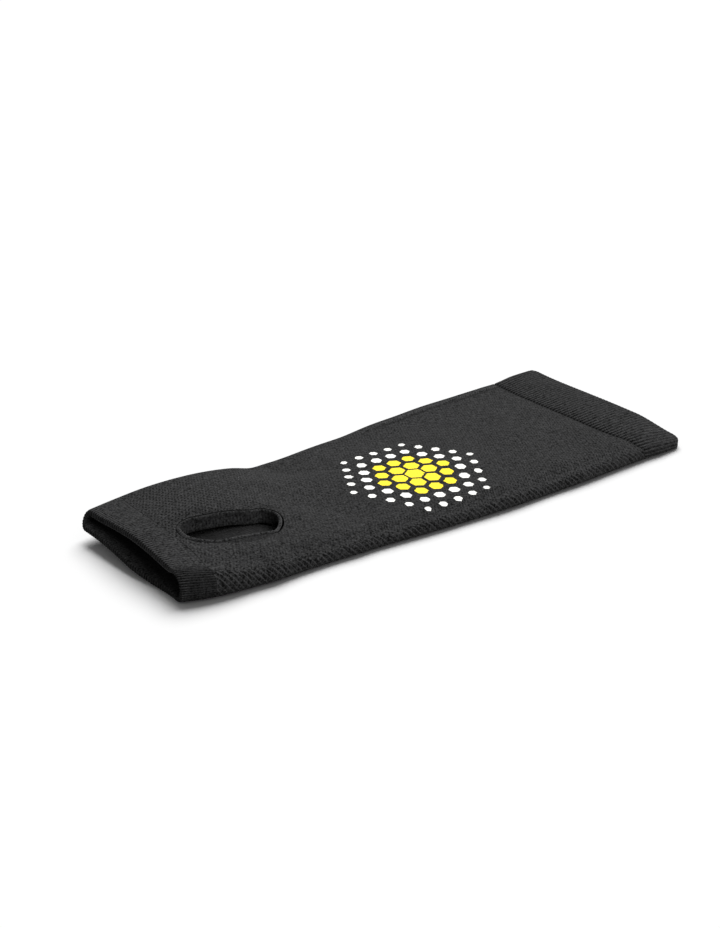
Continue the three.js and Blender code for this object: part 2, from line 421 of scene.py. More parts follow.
# %% [markdown]
# ## Walls from a grid
# A wall of cloth is closed: its outside, an edge, its inside and another edge. That is a flat grid rolled
# up both ways, so the helper below adds a grid, moves every vertex to its place, and merges the two seams
# where the grid's borders meet. The grid also gives three maps: "Knit" holds true millimetres along and
# round the sleeve, for the stitches, "Shade" holds how pale the yarn is, painted light and shade included,
# and how open the stitches are at a place, and "OFBake" holds the unrolled grid, for baking.

# %% Grid helper
INSIDE_SHIFT = 880.0
MERGE_DISTANCE = 0.02 * MM
BAKE_SHARE = 0.98
NEAR_SIDE_START = UPPER_END - 0.03
NEAR_SIDE_END = 1 - LOWER_HALF + 0.02
SIDE_BLEND = 0.05


def rolled_grid(name, columns, rows, place, knit_map, shade_map, bake_map):
    """A closed wall from a grid of columns by rows; the functions take column and row numbers."""
    bpy.ops.object.select_all(action="DESELECT")
    bpy.ops.mesh.primitive_grid_add(x_subdivisions=columns, y_subdivisions=rows, size=1)
    piece = bpy.context.object
    piece.name = name
    mesh = piece.data
    mesh.name = name
    flat = np.empty(len(mesh.vertices) * 3, np.float32)
    mesh.vertices.foreach_get("co", flat)
    flat = flat.reshape(-1, 3)
    column = np.rint((flat[:, 0] + 0.5) * columns).astype(int)
    row = np.rint((flat[:, 1] + 0.5) * rows).astype(int)
    mesh.vertices.foreach_set("co", place(column % columns, row % rows).astype(np.float32).ravel())
    corner = np.empty(len(mesh.loops), np.int32)
    mesh.loops.foreach_get("vertex_index", corner)
    while mesh.uv_layers:
        mesh.uv_layers.remove(mesh.uv_layers[0])
    for map_name, make_map in (("Knit", knit_map), ("Shade", shade_map), ("OFBake", bake_map)):
        layer = mesh.uv_layers.new(name=map_name)
        layer.uv.foreach_set("vector", make_map(column, row)[corner].astype(np.float32).ravel())
    bpy.ops.object.mode_set(mode="EDIT")
    bpy.ops.mesh.select_all(action="SELECT")
    bpy.ops.mesh.remove_doubles(threshold=MERGE_DISTANCE)
    bpy.ops.mesh.normals_make_consistent(inside=False)
    bpy.ops.object.mode_set(mode="OBJECT")
    bpy.ops.object.shade_smooth()
    print(name, "has", len(mesh.polygons), "faces")
    return piece


def near_side(turn):
    """1 on the near side fold and 0 away from it."""
    return eased((turn - NEAR_SIDE_START) / SIDE_BLEND) * eased((NEAR_SIDE_END - turn) / SIDE_BLEND)


def even_turns(along, columns, crowding):
    """Turns that share the way round a section among the columns, closer together on the near side."""
    turns, travelled = section_length(along)
    weights = np.diff(travelled) * (1 + crowding * near_side(turns[1:]))
    weighted = np.append(0, np.cumsum(weights))
    return np.interp(np.linspace(0, weighted[-1], columns + 1), weighted, turns)


# %% [markdown]
# ## The body
# The body is one knitted tube. Its wall's cut is listed from the hand end along the outside, round the
# rolled-in edge at the arm end, back along the inside and round the other edge; its steps are closer
# together along the thumb hole. Each edge tucks in beside a cuff: hardly at all at the hand, where the
# seam is flat, and by a millimetre at the arm, where the cuff is gathered on and a dark groove shows.

# %% Body wall
HAND_CUFF_WIDTH = 15.0
ARM_CUFF_WIDTH = 30.5
SEAM_GAP = 0.1
BODY_WALL = 1.8
FINE_END = 78.0
FINE_ROWS = 110
COARSE_ROWS = 140
INSIDE_ROWS = 56
LOWER_COLUMNS = 16
FOLD_COLUMNS = 16
WELT_COLUMNS = 24
TOP_COLUMNS = 140
WELT_TURN = UPPER_START + 0.03
HAND_TUCK = dict(run=0.6, depth=0.12)
ARM_TUCK = dict(run=1.5, depth=1.2)
CUFF_TUCK = dict(run=1.6, depth=1.7)
TUCK_FLAT = 0.75
BODY_START = HAND_CUFF_WIDTH + SEAM_GAP / 2
BODY_END = LENGTH - ARM_CUFF_WIDTH - SEAM_GAP / 2


def tucked_edge(tuck, steps=5):
    """Run towards the edge and depth there of a soft tuck, from level cloth to the edge."""
    angle = np.linspace(0, math.pi / 2, steps + 1)
    return tuck["run"] * np.sin(angle), tuck["depth"] * (1 - np.cos(angle))


def body_cut():
    """The wall's cut as (along, depth) points, and the number of those on the outside."""
    hand_run, hand_depth = tucked_edge(HAND_TUCK)
    arm_run, arm_depth = tucked_edge(ARM_TUCK)
    outside = np.concatenate([
        np.linspace(BODY_START + HAND_TUCK["run"], FINE_END, FINE_ROWS, endpoint=False),
        np.linspace(FINE_END, BODY_END - ARM_TUCK["run"], COARSE_ROWS),
    ])
    inside = np.linspace(BODY_END, BODY_START, INSIDE_ROWS)
    along = np.concatenate([
        BODY_START + HAND_TUCK["run"] - hand_run[:0:-1],
        outside,
        BODY_END - ARM_TUCK["run"] + arm_run[1:],
        inside,
    ])
    depth = np.concatenate([
        hand_depth[:0:-1], np.zeros_like(outside), arm_depth[1:], np.full_like(inside, BODY_WALL),
    ])
    return along, depth, len(outside) + len(hand_run) + len(arm_run) - 2


def body_turns():
    """Turns of the body's columns: fine on the upper wall and the folds, coarse underneath."""
    return np.concatenate([
        np.linspace(0, LOWER_HALF, LOWER_COLUMNS, endpoint=False),
        np.linspace(LOWER_HALF, UPPER_START, FOLD_COLUMNS, endpoint=False),
        np.linspace(UPPER_START, WELT_TURN, WELT_COLUMNS, endpoint=False),
        np.linspace(WELT_TURN, UPPER_END, TOP_COLUMNS, endpoint=False),
        np.linspace(UPPER_END, 1 - LOWER_HALF, FOLD_COLUMNS, endpoint=False),
        np.linspace(1 - LOWER_HALF, 1, LOWER_COLUMNS + 1),
    ])


# %% [markdown]
# A knit isn't one grey all over, and its paleness here also carries painted light and shade. The welt has
# a painted highlight on its ridge beside painted shade in its crease, the hole's far rim has a painted
# highlight towards its ends with painted shade behind it, its near rim lies in a crease with painted shade,
# and the edge at the arm seam is darker. The stitches stand open in a few soft patches, and the near fold is
# marked by a higher number.

# %% Body shade and body
OPEN_BASE = 0.25
MOST_OPEN = 1.3
FOLD_MARK = 2.0
FOLD_BLEND = 0.02
OPEN_PATCHES = [
    dict(middle=(-124, 8), half=(20, 28), more=1.6),
    dict(middle=(-92, 14), half=(36, 20), more=0.4),
    # The third patch closes the pits in front of the hole, which paints that stretch lighter: painted light
    # where the upper wall slopes down to the near fold.
    dict(middle=(-60, -38), half=(60, 20), more=-0.22),
    dict(middle=(60, -50), half=(90, 7), more=0.5),
]
WELT_RIDGE_HIGHLIGHT = 0.6
WELT_PALE_WIDTH = 2.2
WELT_CREASE_SHADE = 0.55
WELT_CREASE_WIDTH = 2.0
WELT_SOFT = 0.8
WELT_LINE = 0.1
WELT_LINE_SOFT = 0.5
FAR_RIM_RUN = 8.0
NEAR_RIM_RUN = 4.0
RIM_HIGHLIGHT = 0.5
RIM_HIGHLIGHT_REACH = 1.3
RIM_SHADE = 0.25
RIM_SHADE_AWAY = 3.0
RIM_SHADE_HALF = 2.0
RIM_CREASE_SHADE = 0.45
RIM_CREASE_REACH = 0.9
SEAM_DARK = 0.75
SEAM_DARK_REACH = 1.3
# The body's inside is painted darker: painted shade on the walls seen through the hole and the ends.
INSIDE_SHADE = (0.5, 0.0)
BAKE_BORDERS = (0, 0.07, 0.16, 0.84, 0.93, 1)
BAKE_OUTSIDE_END = 0.84
BAKE_INSIDE_END = 0.97


def knit_places(along, turn, inside):
    """Millimetres along the sleeve and round it from the top's middle, for the stitches."""
    grid_along, grid_turn = np.linspace(0, LENGTH, 121), np.linspace(0, 1, 1001)
    across = np.empty((len(grid_along), len(grid_turn)))
    for i, place in enumerate(grid_along):
        turns, travelled = section_length(place)
        across[i] = np.interp(grid_turn, turns, travelled - np.interp(0.5, turns, travelled))
    row = np.clip(along / LENGTH * (len(grid_along) - 1), 0, len(grid_along) - 1.001)
    low = row.astype(int)
    position = np.clip(turn, 0, 1) * (len(grid_turn) - 1)
    left = np.minimum(position.astype(int), len(grid_turn) - 2)
    part = position - left
    first = across[low, left] * (1 - part) + across[low, left + 1] * part
    second = across[low + 1, left] * (1 - part) + across[low + 1, left + 1] * part
    around = first + (second - first) * (row - low)
    return np.column_stack([along, around + INSIDE_SHIFT * inside])


def body_shade(along, turn):
    """How pale the yarn is, painted light and shade included, and how open the stitches are, by place on the
    body.
    """
    place = cloth_points(along, turn, np.zeros_like(along)) / MM
    x, y = place[:, 0], place[:, 1]
    inside = WELT_INSET - section_column("far", along) + outline_middle + y
    # Painted highlight on the welt's ridge and painted shade in the crease beside it.
    ridge_highlight = eased((inside + WELT_LINE) / WELT_LINE_SOFT) * eased((WELT_PALE_WIDTH - inside) / WELT_SOFT)
    crease_shade = eased((inside + WELT_CREASE_WIDTH) / WELT_SOFT) * eased((WELT_LINE - inside) / WELT_LINE_SOFT)
    on_welt = eased((along - WELT_START) / WELT_FADE) * (turn > LOWER_HALF + FOLD_SHARE / 2) * (turn < 0.5)
    pale = 1 + on_welt * (WELT_RIDGE_HIGHLIGHT * ridge_highlight - WELT_CREASE_SHADE * crease_shade)
    # Darker along the arm seam.
    pale *= 1 - SEAM_DARK * np.exp(-(((BODY_END - along) / SEAM_DARK_REACH) ** 2))
    from_hole = distance_outside_hole(x, y)
    forward, aside = hole_axes(x, y)
    on_top = (turn > UPPER_START) * (turn < UPPER_END)
    far_rim = on_top * eased(aside / FAR_RIM_RUN)
    near_rim = on_top * eased(-aside / NEAR_RIM_RUN)
    # Painted highlight on the far rim towards the hole's ends, painted shade behind the far rim, and painted
    # shade in the near rim's crease.
    far_rim_highlight = far_rim * np.clip(abs(forward) / HOLE_HALF, 0, 1)
    pale += far_rim_highlight * RIM_HIGHLIGHT * eased(1 - from_hole / RIM_HIGHLIGHT_REACH)
    pale -= far_rim * RIM_SHADE * np.exp(-(((from_hole - RIM_SHADE_AWAY) / RIM_SHADE_HALF) ** 2))
    pale -= near_rim * RIM_CREASE_SHADE * eased(1 - from_hole / RIM_CREASE_REACH)
    open_knit = np.full_like(along, OPEN_BASE)
    for patch in OPEN_PATCHES:
        along_patch = (x - patch["middle"][0]) / patch["half"][0]
        across_patch = (y - patch["middle"][1]) / patch["half"][1]
        open_knit += patch["more"] * np.exp(-(along_patch**2) - across_patch**2)
    fold_end = 1 - LOWER_HALF + FOLD_BLEND
    on_near_fold = eased((turn - UPPER_END) / FOLD_BLEND) * eased((fold_end - turn) / FOLD_BLEND)
    return np.column_stack([pale, np.clip(open_knit, 0, MOST_OPEN) + FOLD_MARK * on_near_fold])


def make_body():
    along, depth, outer_rows = body_cut()
    turns = body_turns()
    columns, rows = len(turns) - 1, len(along)
    borders = [0, LOWER_HALF, UPPER_START, UPPER_END, 1 - LOWER_HALF, 1]
    bake_across = np.interp(turns, borders, BAKE_BORDERS)
    row_ends, bake_ends = [0, outer_rows, rows], [0, BAKE_OUTSIDE_END, BAKE_INSIDE_END]
    bake_up = np.interp(np.arange(rows + 1), row_ends, bake_ends)

    def place(column, row):
        flat = TUCK_FLAT * near_side(turns[column]) * (row < outer_rows)
        return cloth_points(along[row], turns[column], depth[row] * (1 - flat))

    def knit_map(column, row):
        at = row % rows
        return knit_places(along[at], turns[column], at >= outer_rows)

    def shade_map(column, row):
        at = row % rows
        shade = body_shade(along[at], turns[column])
        return np.where((at < outer_rows)[:, None], shade, INSIDE_SHADE)

    def bake_map(column, row):
        return np.column_stack([bake_across[column], bake_up[row]])

    return rolled_grid("sleeve_body_knit", columns, rows, place, knit_map, shade_map, bake_map)


body = make_body()

# %% [markdown]
# ## Cutting the thumb hole
# The hole goes through the upper wall only. A filled circle is shaped to the hole's outline, extruded
# upwards to a prism, and taken out of the body by a Boolean modifier, which is then applied.

# %% Thumb hole cut
CUTTER_SIDES = 120
CUTTER_FOOT = 9.0
CUTTER_HEIGHT = 22.0
HOLE_EASE = 0.4
HOLE_WALL_SHADE = 0.5
BAKE_HOLE_START = 0.972
BAKE_HOLE_RUN = 0.07
SMOOTH_ANGLE = math.radians(55)


def make_hole_cutter():
    bpy.ops.object.select_all(action="DESELECT")
    bpy.ops.mesh.primitive_circle_add(vertices=CUTTER_SIDES, fill_type="NGON")
    cutter = bpy.context.object
    x, y = hole_outline(HOLE_EASE, np.arange(CUTTER_SIDES) / CUTTER_SIDES)
    foot = np.column_stack([x, y, np.full_like(x, CUTTER_FOOT)]) * MM
    cutter.data.vertices.foreach_set("co", foot.astype(np.float32).ravel())
    bpy.ops.object.mode_set(mode="EDIT")
    bpy.ops.mesh.select_all(action="SELECT")
    lift = {"value": (0, 0, CUTTER_HEIGHT * MM)}
    bpy.ops.mesh.extrude_region_move(TRANSFORM_OT_translate=lift)
    bpy.ops.mesh.select_all(action="SELECT")
    bpy.ops.mesh.normals_make_consistent(inside=False)
    bpy.ops.object.mode_set(mode="OBJECT")
    mesh = cutter.data
    corner = np.empty(len(mesh.loops), np.int32)
    mesh.loops.foreach_get("vertex_index", corner)
    share = (corner % CUTTER_SIDES) / CUTTER_SIDES
    upper = corner >= CUTTER_SIDES
    while mesh.uv_layers:
        mesh.uv_layers.remove(mesh.uv_layers[0])
    strip = np.column_stack([share * BAKE_SHARE, BAKE_HOLE_START + BAKE_HOLE_RUN * upper])
    stitches = np.column_stack([upper * CUTTER_HEIGHT, share * HOLE_ROUND])
    # The cut wall of the hole is painted darker: painted shade.
    plain = np.column_stack([np.full_like(share, HOLE_WALL_SHADE), np.zeros_like(share)])
    for map_name, values in (("Knit", stitches), ("Shade", plain), ("OFBake", strip)):
        layer = mesh.uv_layers.new(name=map_name)
        layer.uv.foreach_set("vector", values.astype(np.float32).ravel())
    return cutter


def cut_out(piece, cutter):
    """Takes the cutter's shape out of the piece, then removes the cutter."""
    modifier = piece.modifiers.new("thumb hole", "BOOLEAN")
    modifier.operation = "DIFFERENCE"
    modifier.object = cutter
    modifier.solver = "EXACT"
    bpy.ops.object.select_all(action="DESELECT")
    bpy.context.view_layer.objects.active = piece
    piece.select_set(True)
    bpy.ops.object.modifier_apply(modifier=modifier.name)
    bpy.data.objects.remove(cutter)


cut_out(body, make_hole_cutter())
bpy.context.view_layer.objects.active = body
bpy.ops.object.shade_smooth_by_angle(angle=SMOOTH_ANGLE)
print("the body keeps", len(body.data.polygons), "faces after the cut")

# %% [markdown]
# ## The ribbed cuffs
# Rib knit is a row of rounded ridges that run along the sleeve. At a photograph's distance they are a
# visible shape, so they are modelled: the cuff's grid has eight columns to a rib, and each column's depth
# follows a wave. The open end turns over in a squared lip, and the ribs go over it. The other end tucks
# in beside the body. Inside the lip the upper wall is painted paler, as painted light, with a painted
# highlight on its rim, and the lower wall has painted shade.

# %% Cuff helper
RIB_COLUMNS = 8
LIP_SQUARENESS = 3.0
CUFF_INSIDE_PAINTED_LIGHT = 1.2
CUFF_RIM_HIGHLIGHT = 2.8
CUFF_FLOOR_SHADE = 0.6
CUFF_FLOOR_CONTRAST = 0.3
LIP_STEPS = 14
CUFF_INSIDE_ROWS = 14
INSIDE_FACING = -0.5
RIM_FACING = (-0.95, -0.35)
FAR_SIDE_START = LOWER_HALF - 0.03
FAR_SIDE_END = UPPER_START + 0.03
FAR_SIDE_BLEND = 0.04


def rib_groove(column):
    """Share of the groove's depth at a column, 0 on a rib's crest and 1 in the groove."""
    return 0.5 + 0.5 * np.cos(2 * math.pi * column / RIB_COLUMNS)


def far_side(turn):
    """1 on the far side fold and 0 away from it."""
    return eased((turn - FAR_SIDE_START) / FAR_SIDE_BLEND) * eased((FAR_SIDE_END - turn) / SIDE_BLEND)


def cuff_cut(seam, lip, wall, tuck, outer_rows):
    """The cuff's cut from its seam to its lip and back: along, depth and rib strength."""
    way = math.copysign(1, lip - seam)
    radius = wall / 2
    run, down = tucked_edge(tuck)
    outside = np.linspace(seam + way * tuck["run"], lip - way * radius, outer_rows)
    angle = np.linspace(0, math.pi, LIP_STEPS + 1)[1:-1]
    squared = 2 / LIP_SQUARENESS
    ahead = np.abs(np.sin(angle)) ** squared
    level = np.sign(np.cos(angle)) * np.abs(np.cos(angle)) ** squared
    inside = np.linspace(lip - way * radius, seam, CUFF_INSIDE_ROWS)
    along = np.concatenate([
        seam + way * (tuck["run"] - run[:0:-1]), outside, lip - way * radius * (1 - ahead), inside,
    ])
    depth = np.concatenate([
        down[:0:-1], np.zeros_like(outside), radius * (1 - level), np.full_like(inside, wall),
    ])
    outwards = np.concatenate([
        np.ones(len(down) - 1 + len(outside)), np.cos(angle), -np.ones_like(inside),
    ])
    return along, depth, outwards


def make_cuff(name, seam, lip, wall, tuck, ribs, crowding, outer_rows, relief):
    """A cuff; relief gives rib depth, contrast, thinning and paleness by turn and share from the seam."""
    along, depth, outwards = cuff_cut(seam, lip, wall, tuck, outer_rows)
    columns, rows = ribs * RIB_COLUMNS, len(along)
    turns = even_turns((seam + lip) / 2, columns, crowding)
    way = math.copysign(1, lip - seam)
    from_seam = (along - seam) / (lip - seam)
    tuck_rows = np.argmax(depth == 0)
    bake_across = np.linspace(0, 1, columns + 1)
    travelled = np.append(0, np.cumsum(np.hypot(np.diff(along), np.diff(depth))))
    bake_up = np.append(travelled, travelled[-1] + wall) / (travelled[-1] + wall) * BAKE_SHARE

    def place(column, row):
        rib_depth, _, thinning, _ = relief(turns[column], from_seam[row])
        groove = rib_groove(column) * rib_depth
        thinning = np.where(row < tuck_rows, TUCK_FLAT * near_side(turns[column]), thinning)
        level = depth[row] * (1 - thinning) + groove * outwards[row]
        tip = way * groove * np.sqrt(1 - outwards[row] ** 2)
        return cloth_points(along[row] - tip, turns[column], level)

    def knit_map(column, row):
        return np.column_stack([travelled[row % rows], column / RIB_COLUMNS])

    def shade_map(column, row):
        at = row % rows
        _, contrast, _, pale = relief(turns[column], from_seam[at])
        on_top = (turns[column] > UPPER_START) & (turns[column] < UPPER_END)
        inside = outwards[at] < INSIDE_FACING
        rim = on_top & (outwards[at] > RIM_FACING[0]) & (outwards[at] < RIM_FACING[1])
        # Painted light inside the upper wall, painted highlight on its rim, and painted shade on the lower
        # wall inside.
        pale = np.where(inside, np.where(on_top, CUFF_INSIDE_PAINTED_LIGHT, CUFF_FLOOR_SHADE), pale)
        contrast = np.where(inside & ~on_top, CUFF_FLOOR_CONTRAST * contrast, contrast)
        return np.column_stack([np.where(rim, CUFF_RIM_HIGHLIGHT, pale), contrast])

    def bake_map(column, row):
        return np.column_stack([bake_across[column], bake_up[row]])

    return rolled_grid(name, columns, rows, place, knit_map, shade_map, bake_map)


# %% [markdown]
# The hand cuff is a fine rib that is stretched flat on top, so its ribs hardly show there; they stand out
# on the near side and at the lip. The lip's front face and the near side have painted shade. The arm cuff
# is a coarser rib that its seam gathers, so its ribs are deep beside the seam, which is darker, and fade
# towards the lip; its near side has a little painted shade. Each cuff's relief starts from its plain rib
# and adds what each part of the cuff brings: millimetres of depth, and shares of contrast and of paleness.
# The contrast is painted shade in the rib grooves and a painted highlight on the crests.

# %% Hand cuff and arm cuff
HAND_LIP = dict(start=0.74, run=0.10)
HAND_FACE = dict(start=0.93, run=0.05)
HAND_DEPTH = dict(plain=0.06, near=0.2, lip=0.5)
HAND_CONTRAST = dict(plain=0.1, near=0.3, lip=1.1)
HAND_PALE_AND_SHADE = dict(plain=1.0, lip=0.2, face=-0.7, near=-0.5)
HAND_THINNING = 0.5
HAND_FAR_FLAT = 0.7
HAND_NEAR_SOFT = 0.6
ARM_LIP = dict(start=0.5, run=0.5)
ARM_SEAM_REACH = 0.3
ARM_SEAM_LINE_REACH = 0.1
ARM_DEPTH = dict(plain=0.3, seam=0.6, lip=-0.2)
ARM_CONTRAST = dict(plain=0.34, seam=0.6, stitched=0.9)
ARM_PALE_AND_SHADE = dict(plain=0.95, stitched=-0.45, near=-0.08)
ARM_THINNING = 0.2
ARM_NEAR_SOFT = 0.5
ARM_NEAR_SEAM_FADE = 0.6


def grown(part, from_seam):
    """How far a part of the cuff is reached, from 0 where it starts to 1 after its run."""
    return eased((from_seam - part["start"]) / part["run"])


def with_parts(amounts, **shares):
    """A cuff's plain amount and what the named parts add to it by their shares."""
    return amounts["plain"] + sum(amounts[part] * share for part, share in shares.items())


def hand_relief(turn, from_seam):
    """Rib depth, rib contrast, thinning of the wall and paleness on the hand cuff."""
    near = near_side(turn)
    lip = grown(HAND_LIP, from_seam)
    face = grown(HAND_FACE, from_seam)
    rib_depth = with_parts(HAND_DEPTH, near=near, lip=lip) * (1 - HAND_FAR_FLAT * far_side(turn))
    contrast = with_parts(HAND_CONTRAST, near=near, lip=lip * (1 - HAND_NEAR_SOFT * near))
    # The lip's front face and the near side get painted shade.
    pale = with_parts(HAND_PALE_AND_SHADE, lip=lip, face=face, near=near * (1 - face))
    return rib_depth, contrast, HAND_THINNING * near, pale


def arm_relief(turn, from_seam):
    """Rib depth, rib contrast, thinning of the wall and paleness on the arm cuff."""
    near = near_side(turn)
    seam = np.exp(-((from_seam / ARM_SEAM_REACH) ** 2))
    # Darker along the seam line, less so on the near side.
    stitched = np.exp(-((from_seam / ARM_SEAM_LINE_REACH) ** 2))
    soft = 1 - ARM_NEAR_SOFT * near
    rib_depth = with_parts(ARM_DEPTH, seam=seam, lip=grown(ARM_LIP, from_seam))
    contrast = with_parts(ARM_CONTRAST, seam=seam * soft, stitched=stitched * soft)
    # The near side gets a little painted shade.
    pale = with_parts(ARM_PALE_AND_SHADE, stitched=stitched * (1 - ARM_NEAR_SEAM_FADE * near), near=near)
    return rib_depth, contrast, ARM_THINNING * near, pale


hand_cuff = make_cuff(
    "hand_cuff_rib", seam=HAND_CUFF_WIDTH - SEAM_GAP / 2, lip=0, wall=3.6, tuck=HAND_TUCK,
    ribs=118, crowding=0.45, outer_rows=18, relief=hand_relief,
)
arm_cuff = make_cuff(
    "arm_cuff_rib", seam=LENGTH - ARM_CUFF_WIDTH + SEAM_GAP / 2, lip=LENGTH, wall=2.4, tuck=CUFF_TUCK,
    ribs=109, crowding=0.0, outer_rows=28, relief=arm_relief,
)

# %% [markdown]
# ## The thumb hole's binding
# The hole's edge is bound: beside a narrow groove with painted shade, nearly closed at the hole's ends, a
# band of knit turns over a crest with a painted highlight and down into the sleeve as a facing, which has
# a little painted shade. Towards the hand the band first lies level for up to a millimetre, and on the far
# side it is pulled tight under the body's edge and goes straight down. Its cut is a strip of even thickness
# with round ends along a bent middle line, worked out for every column round the hole from the way that the
# hole's edge faces there.

# %% Binding
BAND_WALL = 0.8
GROOVE_NEAR = 0.7
GROOVE_ENDS = 0.1
GROOVE_FAR = -0.3
LAND_PROUD = 0.5
LAND_DROP = 0.8
LAND_SLOPE = 0.5
LAND_LEAST = 0.1
LAND_HAND = dict(width=0.8, faces=0.2)
LAND_ARM = dict(width=0.3, faces=-0.35)
BAND_BEND = 0.5
BAND_BEND_FAR = 0.15
FACING_DEPTH = 3.0
FACING_FAR_MORE = 4.4
FACING_SHADE = 0.9
CREST_HIGHLIGHT = 1.5
GROOVE_SHADE = 0.25
GROOVE_ENDS_SHADE = 0.65
STITCH_PITCH = 1.7
STITCH_COLUMNS = 6
STITCH_DEPTH = 0.12
BAND_CONTRAST = 0.15
LAND_STEPS = 6
TURN_STEPS = 8
HANG_STEPS = 8
CAP_STEPS = 5
FACING_BLEND_ROWS = 3
FACING_SHARE_STEP = 0.004
FAR_FACING = dict(start=0.05, run=0.6, arm_lean=0.3)
NEAR_FACING = dict(start=0.2, run=0.5)


def strip_cut(middle_in, middle_up, wall):
    """The closed cut of a strip with round ends along a middle line."""
    ahead_in, ahead_up = np.gradient(middle_in), np.gradient(middle_up)
    size = np.hypot(ahead_in, ahead_up)
    ahead_in, ahead_up = ahead_in / size, ahead_up / size
    half = wall / 2
    angle = np.linspace(math.pi / 2, -math.pi / 2, CAP_STEPS + 2)[1:-1]
    forward, aside = half * np.cos(angle), half * np.sin(angle)
    inwards = [
        middle_in - half * ahead_up,
        middle_in[-1] + forward * ahead_in[-1] - aside * ahead_up[-1],
        (middle_in + half * ahead_up)[::-1],
        middle_in[0] - forward * ahead_in[0] + aside * ahead_up[0],
    ]
    upwards = [
        middle_up + half * ahead_in,
        middle_up[-1] + forward * ahead_up[-1] + aside * ahead_in[-1],
        (middle_up - half * ahead_in)[::-1],
        middle_up[0] - forward * ahead_up[0] - aside * ahead_in[0],
    ]
    return np.concatenate(inwards), np.concatenate(upwards)


def band_cut(land_width, groove_width, farness):
    """The band's cut, inwards and upwards from the hole's edge, where farness is 1 on the far side."""
    half = BAND_WALL / 2
    land = land_width * (1 - farness) + LAND_LEAST
    top = LAND_PROUD - half - LAND_DROP * farness
    groove = groove_width + (GROOVE_FAR - groove_width) * farness
    bend = BAND_BEND + (BAND_BEND_FAR - BAND_BEND) * farness
    depth = FACING_DEPTH + FACING_FAR_MORE * farness
    across = np.arange(LAND_STEPS) / LAND_STEPS
    turn_down = np.linspace(0, math.pi / 2, TURN_STEPS)
    hang = np.linspace(top - bend, -depth + half, HANG_STEPS + 1)[1:]
    crest_in = groove + half + land
    middle_in = np.concatenate([
        groove + half + land * across,
        crest_in + bend * np.sin(turn_down),
        np.full_like(hang, crest_in + bend),
    ])
    middle_up = np.concatenate([
        top - LAND_SLOPE * (1 - farness) * (1 - across) ** 2,
        top - bend * (1 - np.cos(turn_down)),
        hang,
    ])
    return strip_cut(middle_in, middle_up, BAND_WALL)


def make_binding():
    stitches = round(HOLE_ROUND / STITCH_PITCH)
    columns = stitches * STITCH_COLUMNS
    shares = np.arange(columns + 1) / columns
    edge_x, edge_y = hole_outline(0, shares)
    before_x, before_y = hole_outline(0, (shares - FACING_SHARE_STEP) % 1)
    after_x, after_y = hole_outline(0, (shares + FACING_SHARE_STEP) % 1)
    out_x, out_y = after_y - before_y, before_x - after_x
    out_length = np.hypot(out_x, out_y)
    out_x, out_y = out_x / out_length, out_y / out_length
    leaning = out_y + FAR_FACING["arm_lean"] * out_x
    farness = eased((leaning - FAR_FACING["start"]) / FAR_FACING["run"])
    nearness = eased((-out_y - NEAR_FACING["start"]) / NEAR_FACING["run"])
    land_width = LAND_HAND["width"] * eased(-out_x - LAND_HAND["faces"])
    land_width += LAND_ARM["width"] * eased(out_x - LAND_ARM["faces"])
    groove_width = GROOVE_ENDS + (GROOVE_NEAR - GROOVE_ENDS) * nearness
    groove_shade = GROOVE_ENDS_SHADE + (GROOVE_SHADE - GROOVE_ENDS_SHADE) * nearness
    cuts = [band_cut(*sizes) for sizes in zip(land_width, groove_width, farness)]
    inwards = np.array([cut[0] for cut in cuts])
    upwards = np.array([cut[1] for cut in cuts])
    rows = inwards.shape[1]
    cloth = upper_wall(edge_x + LENGTH / 2, edge_y + outline_middle)
    upper_rows = LAND_STEPS + TURN_STEPS
    crest_rows = LAND_STEPS + TURN_STEPS // 2
    first_groove_row = rows - CAP_STEPS - 1
    travelled = np.append(0, np.cumsum(np.hypot(np.diff(inwards[0]), np.diff(upwards[0]))))
    whole_way = travelled[-1] + BAND_WALL / 2
    bake_up = np.append(travelled, whole_way) / whole_way * BAKE_SHARE

    def place(column, row):
        inward = inwards[column, row]
        wrap = 0.5 - 0.5 * np.cos(2 * math.pi * column / STITCH_COLUMNS)
        sunk = STITCH_DEPTH * wrap * (row < upper_rows)
        return np.column_stack([
            edge_x[column] - inward * out_x[column],
            edge_y[column] - inward * out_y[column],
            cloth[column] + upwards[column, row] - sunk,
        ]) * MM

    def knit_map(column, row):
        return np.column_stack([travelled[row % rows], column / STITCH_COLUMNS])

    def shade_map(column, row):
        at = row % rows
        facing = eased((at - upper_rows + FACING_BLEND_ROWS) / FACING_BLEND_ROWS)
        # Painted highlight on the crest, painted shade in the groove and on the facing.
        crest = 1 + (CREST_HIGHLIGHT - 1) * (1 - farness[column]) * (at < crest_rows)
        pale = np.where(at >= first_groove_row, groove_shade[column], crest + (FACING_SHADE - 1) * facing)
        return np.column_stack([pale, np.full_like(facing, BAND_CONTRAST)])

    def bake_map(column, row):
        return np.column_stack([shares[column], bake_up[row]])

    return rolled_grid("thumb_hole_binding_knit", columns, rows, place, knit_map, shade_map, bake_map)


binding = make_binding()

# %% [markdown]
# ## Shader maths
# A knit is easier to read as a formula than as a web of nodes. The small class below wraps a socket, and
# its operators add Math nodes, so `1 - mask` or `height * 0.5` builds the node and returns its output.

